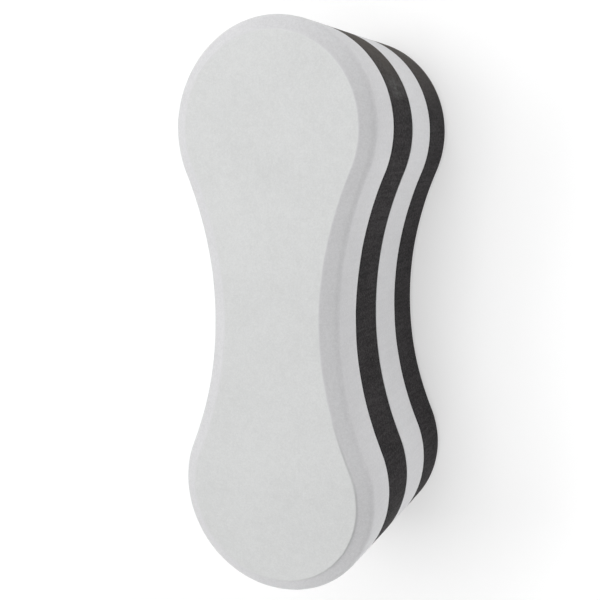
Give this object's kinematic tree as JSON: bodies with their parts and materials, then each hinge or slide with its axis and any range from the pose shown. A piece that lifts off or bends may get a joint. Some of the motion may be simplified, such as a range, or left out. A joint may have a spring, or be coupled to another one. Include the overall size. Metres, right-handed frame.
{
  "type": "pull buoy",
  "caption": "Figure-of-eight foam swimming float with round lobes, a narrow waist and bevelled rims, laminated from light grey and black sheets.",
  "frame": {"origin": "centre of the flat rear face, which the float lies on", "axes": "+Z from the rear face to the front face through the foam sheets, +Y along the length, +X across the width"},
  "size_m": [0.0884, 0.24, 0.1],
  "materials": {
    "grey_foam": "matt closed-cell EVA foam, very fine grain",
    "black_foam": "matt closed-cell EVA foam, fine open cells on cut faces",
    "adhesive": "dried contact adhesive, satin"
  },
  "bodies": {
    "root": {"front_grey_layer": "grey_foam", "front_bond_line": "adhesive", "inner_black_layer": "black_foam", "middle_bond_line": "adhesive", "inner_grey_layer": "grey_foam", "rear_bond_line": "adhesive", "rear_black_layer": "black_foam"}
  },
  "joints": []
}
